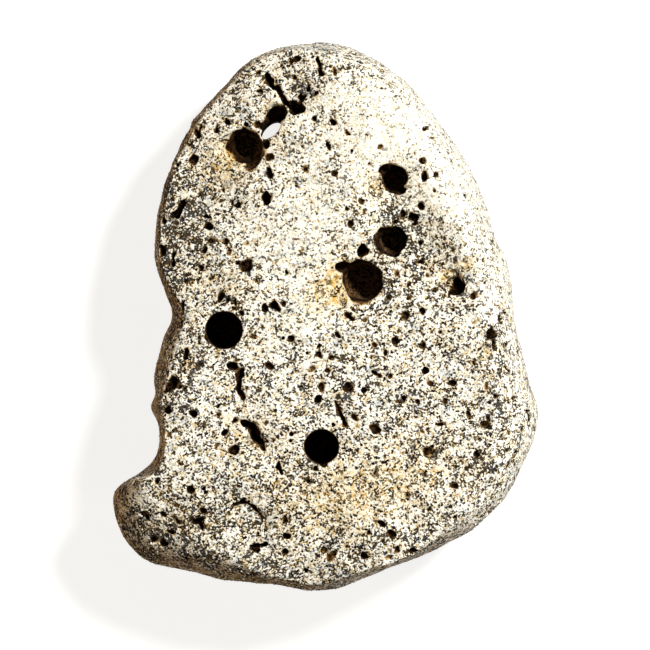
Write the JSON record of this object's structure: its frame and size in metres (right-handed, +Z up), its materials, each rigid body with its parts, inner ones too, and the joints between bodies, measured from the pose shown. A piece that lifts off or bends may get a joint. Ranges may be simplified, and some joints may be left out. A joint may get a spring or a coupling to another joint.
{
  "type": "hag stone",
  "caption": "Flat wave-worn beach pebble of coarse sandy rock, riddled with bores, pits and cracks, with a natural hole right through it, lying on its back.",
  "frame": {"origin": "on the surface that the stone rests on, under the middle of its outline", "axes": "+Z up out of the face that shows best, +Y along the stone's length towards its narrow end, +X to the right as that face is looked at"},
  "size_m": [0.058, 0.0751, 0.0226],
  "materials": {
    "stone": "rough grainy stone, matte, speckled with cream, grey, black and ochre sand grains"
  },
  "bodies": {
    "root": {"hag_stone": "stone"}
  },
  "joints": []
}
